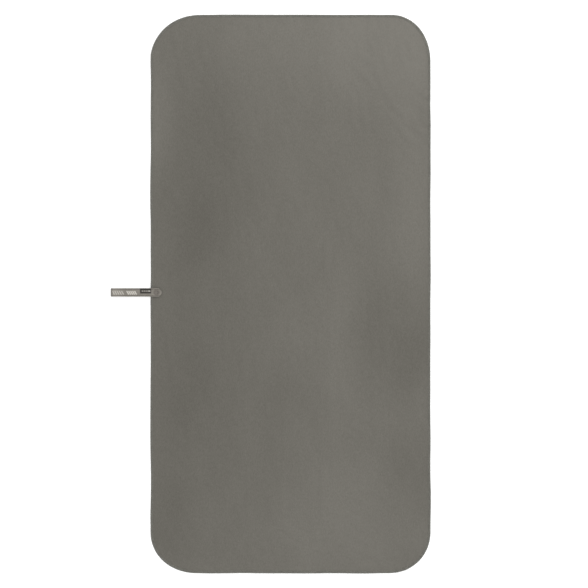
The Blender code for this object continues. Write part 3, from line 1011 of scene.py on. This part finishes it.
def makeSnap():
    cut = snapCut
    headRadius = (capHigh.x - capLow.x) / 2
    bodyRadius = (socketHigh.x - socketLow.x) / 2
    headBottom = freeHigh.z + layerGap
    dishFloor = capHigh.z - cut["dishDepth"]
    crown = (headRadius + cut["dish"]) / 2
    cap = [(0.0, dishFloor)]
    for step in range(2 * cut["crownSteps"] + 1):
        angle = math.pi / 2 * step / cut["crownSteps"]
        foot = dishFloor if step < cut["crownSteps"] else headBottom + cut["capRim"]
        height = foot + (capHigh.z - foot) * math.sin(angle)
        cap.append((crown - (headRadius - crown) * math.cos(angle), height))
    cap += [
        (headRadius, headBottom),
        (cut["post"], headBottom),
        (cut["post"], capLow.z + cut["rivetHeight"]),
        (cut["rivet"], capLow.z + cut["rivetHeight"]),
        (cut["rivet"], capLow.z),
        (0.0, capLow.z),
    ]
    backHead = cut["backHead"]
    roundIn, roundUp, roundFoot = cut["backRound"]
    rivetTop = backHigh.z
    back = [
        (0.0, rivetTop),
        (cut["rivet"], rivetTop),
        (cut["rivet"], rivetTop - cut["rivetHeight"]),
        (cut["post"], rivetTop - cut["rivetHeight"]),
        (cut["post"], backHead),
        (headRadius, backHead),
        (headRadius, cut["backEdge"]),
        (headRadius - roundIn, roundUp),
        (headRadius - roundFoot, 0.0),
        (0.0, 0.0),
    ]
    knob = cut["knob"]
    baseTop = studLow.z + cut["baseThickness"]
    grooveIn, grooveFloor, grooveOut = cut["groove"]
    stud = [
        (cut["knobMouth"], studHigh.z),
        (knob - cut["knobRound"], studHigh.z - cut["knobRound"]),
        (knob, studHigh.z - cut["knobLip"]),
        (knob - 0.0001, studHigh.z - cut["knobBulge"]),
        (knob - cut["neck"], baseTop + cut["neckRise"]),
        (knob - 0.0001, baseTop),
        (bodyRadius - grooveIn, baseTop),
        (bodyRadius - grooveFloor, baseTop - cut["grooveDepth"]),
        (bodyRadius - grooveOut, baseTop - cut["grooveDepth"]),
        (bodyRadius, baseTop - 2 * cut["grooveDepth"]),
        (bodyRadius, studLow.z),
        (cut["bore"], studLow.z),
        (cut["bore"], studHigh.z - cut["knobLip"]),
        (cut["knobMouth"], studHigh.z - cut["knobLip"]),
    ]
    wallInner = cut["wallInner"]
    roof = socketHigh.z - cut["roof"]
    socket = [
        (cut["bore"], socketHigh.z),
        (bodyRadius, socketHigh.z),
        (bodyRadius, socketLow.z + cut["wallRound"]),
        (bodyRadius - cut["wallRound"], socketLow.z),
        (wallInner, socketLow.z),
        (wallInner, roof),
        (cut["bore"], roof),
    ]
    made = [
        (turnPiece("snapCap", cap, snapPlastic), "loop_flap", "snap_cap"),
        (turnPiece("snapSocket", socket, snapPlastic), "loop_flap", "snap_socket"),
        (turnPiece("snapStud", stud, snapPlastic), "towel", "snap_stud"),
        (turnPiece("snapBackCap", back, snapPlastic), "towel", "snap_back_cap"),
    ]
    petals = bmesh.new()  # the springy inner ring of the socket, slit in four
    sweep = math.tau / cut["petals"] - math.radians(cut["petalGap"])
    petalTop = roof - cut["petalSink"]
    outerFoot, innerFoot = cut["petalFoot"]
    outline = (
        (cut["petalInner"], petalTop),
        (cut["petalOuter"], petalTop),
        (cut["petalOuter"], socketLow.z + outerFoot),
        (cut["petalInner"], socketLow.z + innerFoot),
    )
    for petal in range(cut["petals"]):
        section = [petals.verts.new((radius, 0, height)) for radius, height in outline]
        face = petals.faces.new(section)
        turn = Matrix.Rotation(math.tau * petal / cut["petals"] + math.pi / 4, 3, "Z")
        bmesh.ops.rotate(petals, verts=section, cent=(0, 0, 0), matrix=turn)
        bmesh.ops.spin(
            petals, geom=[face], cent=(0, 0, 0), axis=(0, 0, 1), angle=sweep, steps=10, use_merge=False
        )
    bmesh.ops.recalc_face_normals(petals, faces=petals.faces)
    bmesh.ops.translate(petals, verts=petals.verts, vec=(snapX, tapeY, 0))
    ring = addPiece("snapSocketPetals", petals, snapPlastic, smooth=False)
    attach(ring, "loop_flap")
    for piece, body, node in made:
        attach(piece, body)
        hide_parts(node)
    print("press stud turned")


makeSnap()


def makePatch():
    cut = patchLook
    bm = bmesh.new()
    bmesh.ops.create_grid(bm, x_segments=cut["ribs"] * 4, y_segments=cut["rows"] * 2, size=0.5)
    size = patchHigh - patchLow
    centre = (patchLow + patchHigh) / 2
    uvLayer = bm.loops.layers.uv.new("onPatch")
    for face in bm.faces:
        for loop in face.loops:
            loop[uvLayer].uv = (loop.vert.co.x * size.x, loop.vert.co.y * size.y)
    for vert in bm.verts:
        x, y = vert.co.x, vert.co.y
        rib = cut["relief"] * math.cos(math.tau * cut["ribs"] * x)
        rimSide = min(0.5 - abs(x), (0.5 - abs(y)) * size.y / size.x) * size.x
        border = cut["borderRise"] * smoothStep(1 - rimSide / cut["borderWidth"])
        height = freeHigh.z + cut["lift"] + rib + border
        vert.co = (centre.x + x * size.x, centre.y + y * size.y, height)
    piece = addPiece("tapePatch", bm, patchWeb)
    solid = piece.modifiers.new("thickness", "SOLIDIFY")
    solid.thickness = cut["thickness"]
    solid.offset = 1
    bakeModifiers(piece)
    piece.data.shade_smooth()
    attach(piece, "loop_flap")
    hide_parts("tape_patch")
    print("patch fixed")


makePatch()

boxCut = {
    "pitch": 0.0024,
    "radius": 0.0002,
    "inset": 0.00025,
    "crown": 0.00008,
    "dip": 0.0005,
}


def sewBox(name, node, low, high, height, side):
    # straight stitches round the press stud, each dipping into the cloth at its ends; side is 1 on
    # top of the cloth and -1 under it
    inset = boxCut["inset"]
    left, right = low.x + inset, high.x - inset
    near, far = low.y + inset, high.y - inset
    places = ((left, near, 0), (right, near, 0), (right, far, 0), (left, far, 0))
    corners = [Vector(place) for place in places]
    stitchShape = ((0.0, -boxCut["dip"] * side), (0.12, 0.0), (0.5, boxCut["crown"] * side), (0.88, 0.0))
    path = []
    for a, b in zip(corners, corners[1:] + corners[:1]):
        count = round((b - a).length / boxCut["pitch"])
        for stitch in range(count):
            for along, rise in stitchShape:
                spot = a.lerp(b, (stitch + along) / count)
                path.append((spot.x, spot.y, height + rise))
    piece = threadPiece(name, [path], boxCut["radius"], sewThread, closed=True, sides=2)
    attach(piece, "towel")
    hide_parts(node)


sewBox("boxNeedleThread", "box_stitch_needle", boxLow, boxHigh, boxLow.z + 0.0001, 1)
sewBox("boxBobbinThread", "box_stitch_bobbin", bobbinLow, bobbinHigh, bobbinHigh.z - 0.00012, -1)
print("box stitched")

stageLook = {
    "floorColour": (0.95, 0.95, 0.95, 1),
    "floorShade": (0.93, 0.93, 0.93, 1),
    "floorSize": 12.0,
    "floorTop": -0.0001,
    "lens": 160.0,
    "frameWidth": 1.2642,
    "aim": (0.0073, 0.0001, 0.0),
    "sky": 0.90,
    "floorGlow": 0.22,  # the white table is lit from inside too, so shadows on it stay faint
    # soft panels: place, size, watts
    "panels": {
        "overheadPanel": ((0.0, 0.0, 3.2), 3.0, 30.0),
        "keyPanel": ((2.2, 2.0, 1.9), 1.5, 40.0),
    },
}


def makeStage():
    look = stageLook
    bm = bmesh.new()
    bmesh.ops.create_grid(bm, x_segments=8, y_segments=8, size=look["floorSize"] / 2)
    bmesh.ops.translate(bm, verts=bm.verts, vec=(0, 0, look["floorTop"]))
    material, tree, shader = newMaterial("studioFloor", Roughness=0.9)
    shader.inputs["Emission Strength"].default_value = look["floorGlow"]
    shader.inputs["Emission Color"].default_value = (1, 1, 1, 1)
    place = addNode(tree, "TexCoord").outputs["Object"]
    grain = useGroup(tree, mottleGroup, {"Vector": place, "Patch Size": 0.6, "Fibre Size": 0.004})
    share = mathNode(tree, "MULTIPLY_ADD", grain["Tone"], 0.6, 0.5, clamp=True)
    colour = mixColour(tree, share, look["floorShade"], look["floorColour"])
    tree.links.new(colour, shader.inputs["Base Color"])
    addPiece("floor", bm, material, smooth=False)


def makeLights():
    look = stageLook
    world = bpy.data.worlds.new("studio")
    scene.world = world
    world.use_nodes = True
    sky = world.node_tree.nodes["Background"]
    sky.inputs["Color"].default_value = (1.0, 1.0, 1.0, 1)
    sky.inputs["Strength"].default_value = look["sky"]
    for name, (place, size, power) in look["panels"].items():
        lamp = bpy.data.lights.new(name, "AREA")
        lamp.shape = "SQUARE"
        lamp.size = size
        lamp.energy = power
        holder = bpy.data.objects.new(name, lamp)
        holder.location = place
        holder.rotation_euler = Vector(place).to_track_quat("Z", "Y").to_euler()
        scene.collection.objects.link(holder)


def makeCamera():
    look = stageLook
    lens = bpy.data.cameras.new("camera")
    lens.lens = look["lens"]
    lens.sensor_width = 36.0
    camera = bpy.data.objects.new("camera", lens)
    distance = look["frameWidth"] / lens.sensor_width * look["lens"]
    camera.location = Vector(look["aim"]) + Vector((0, 0, distance))
    lens.clip_start = 0.05
    lens.clip_end = 50.0
    scene.collection.objects.link(camera)
    scene.camera = camera


makeStage()
makeLights()
makeCamera()
print("stage set")
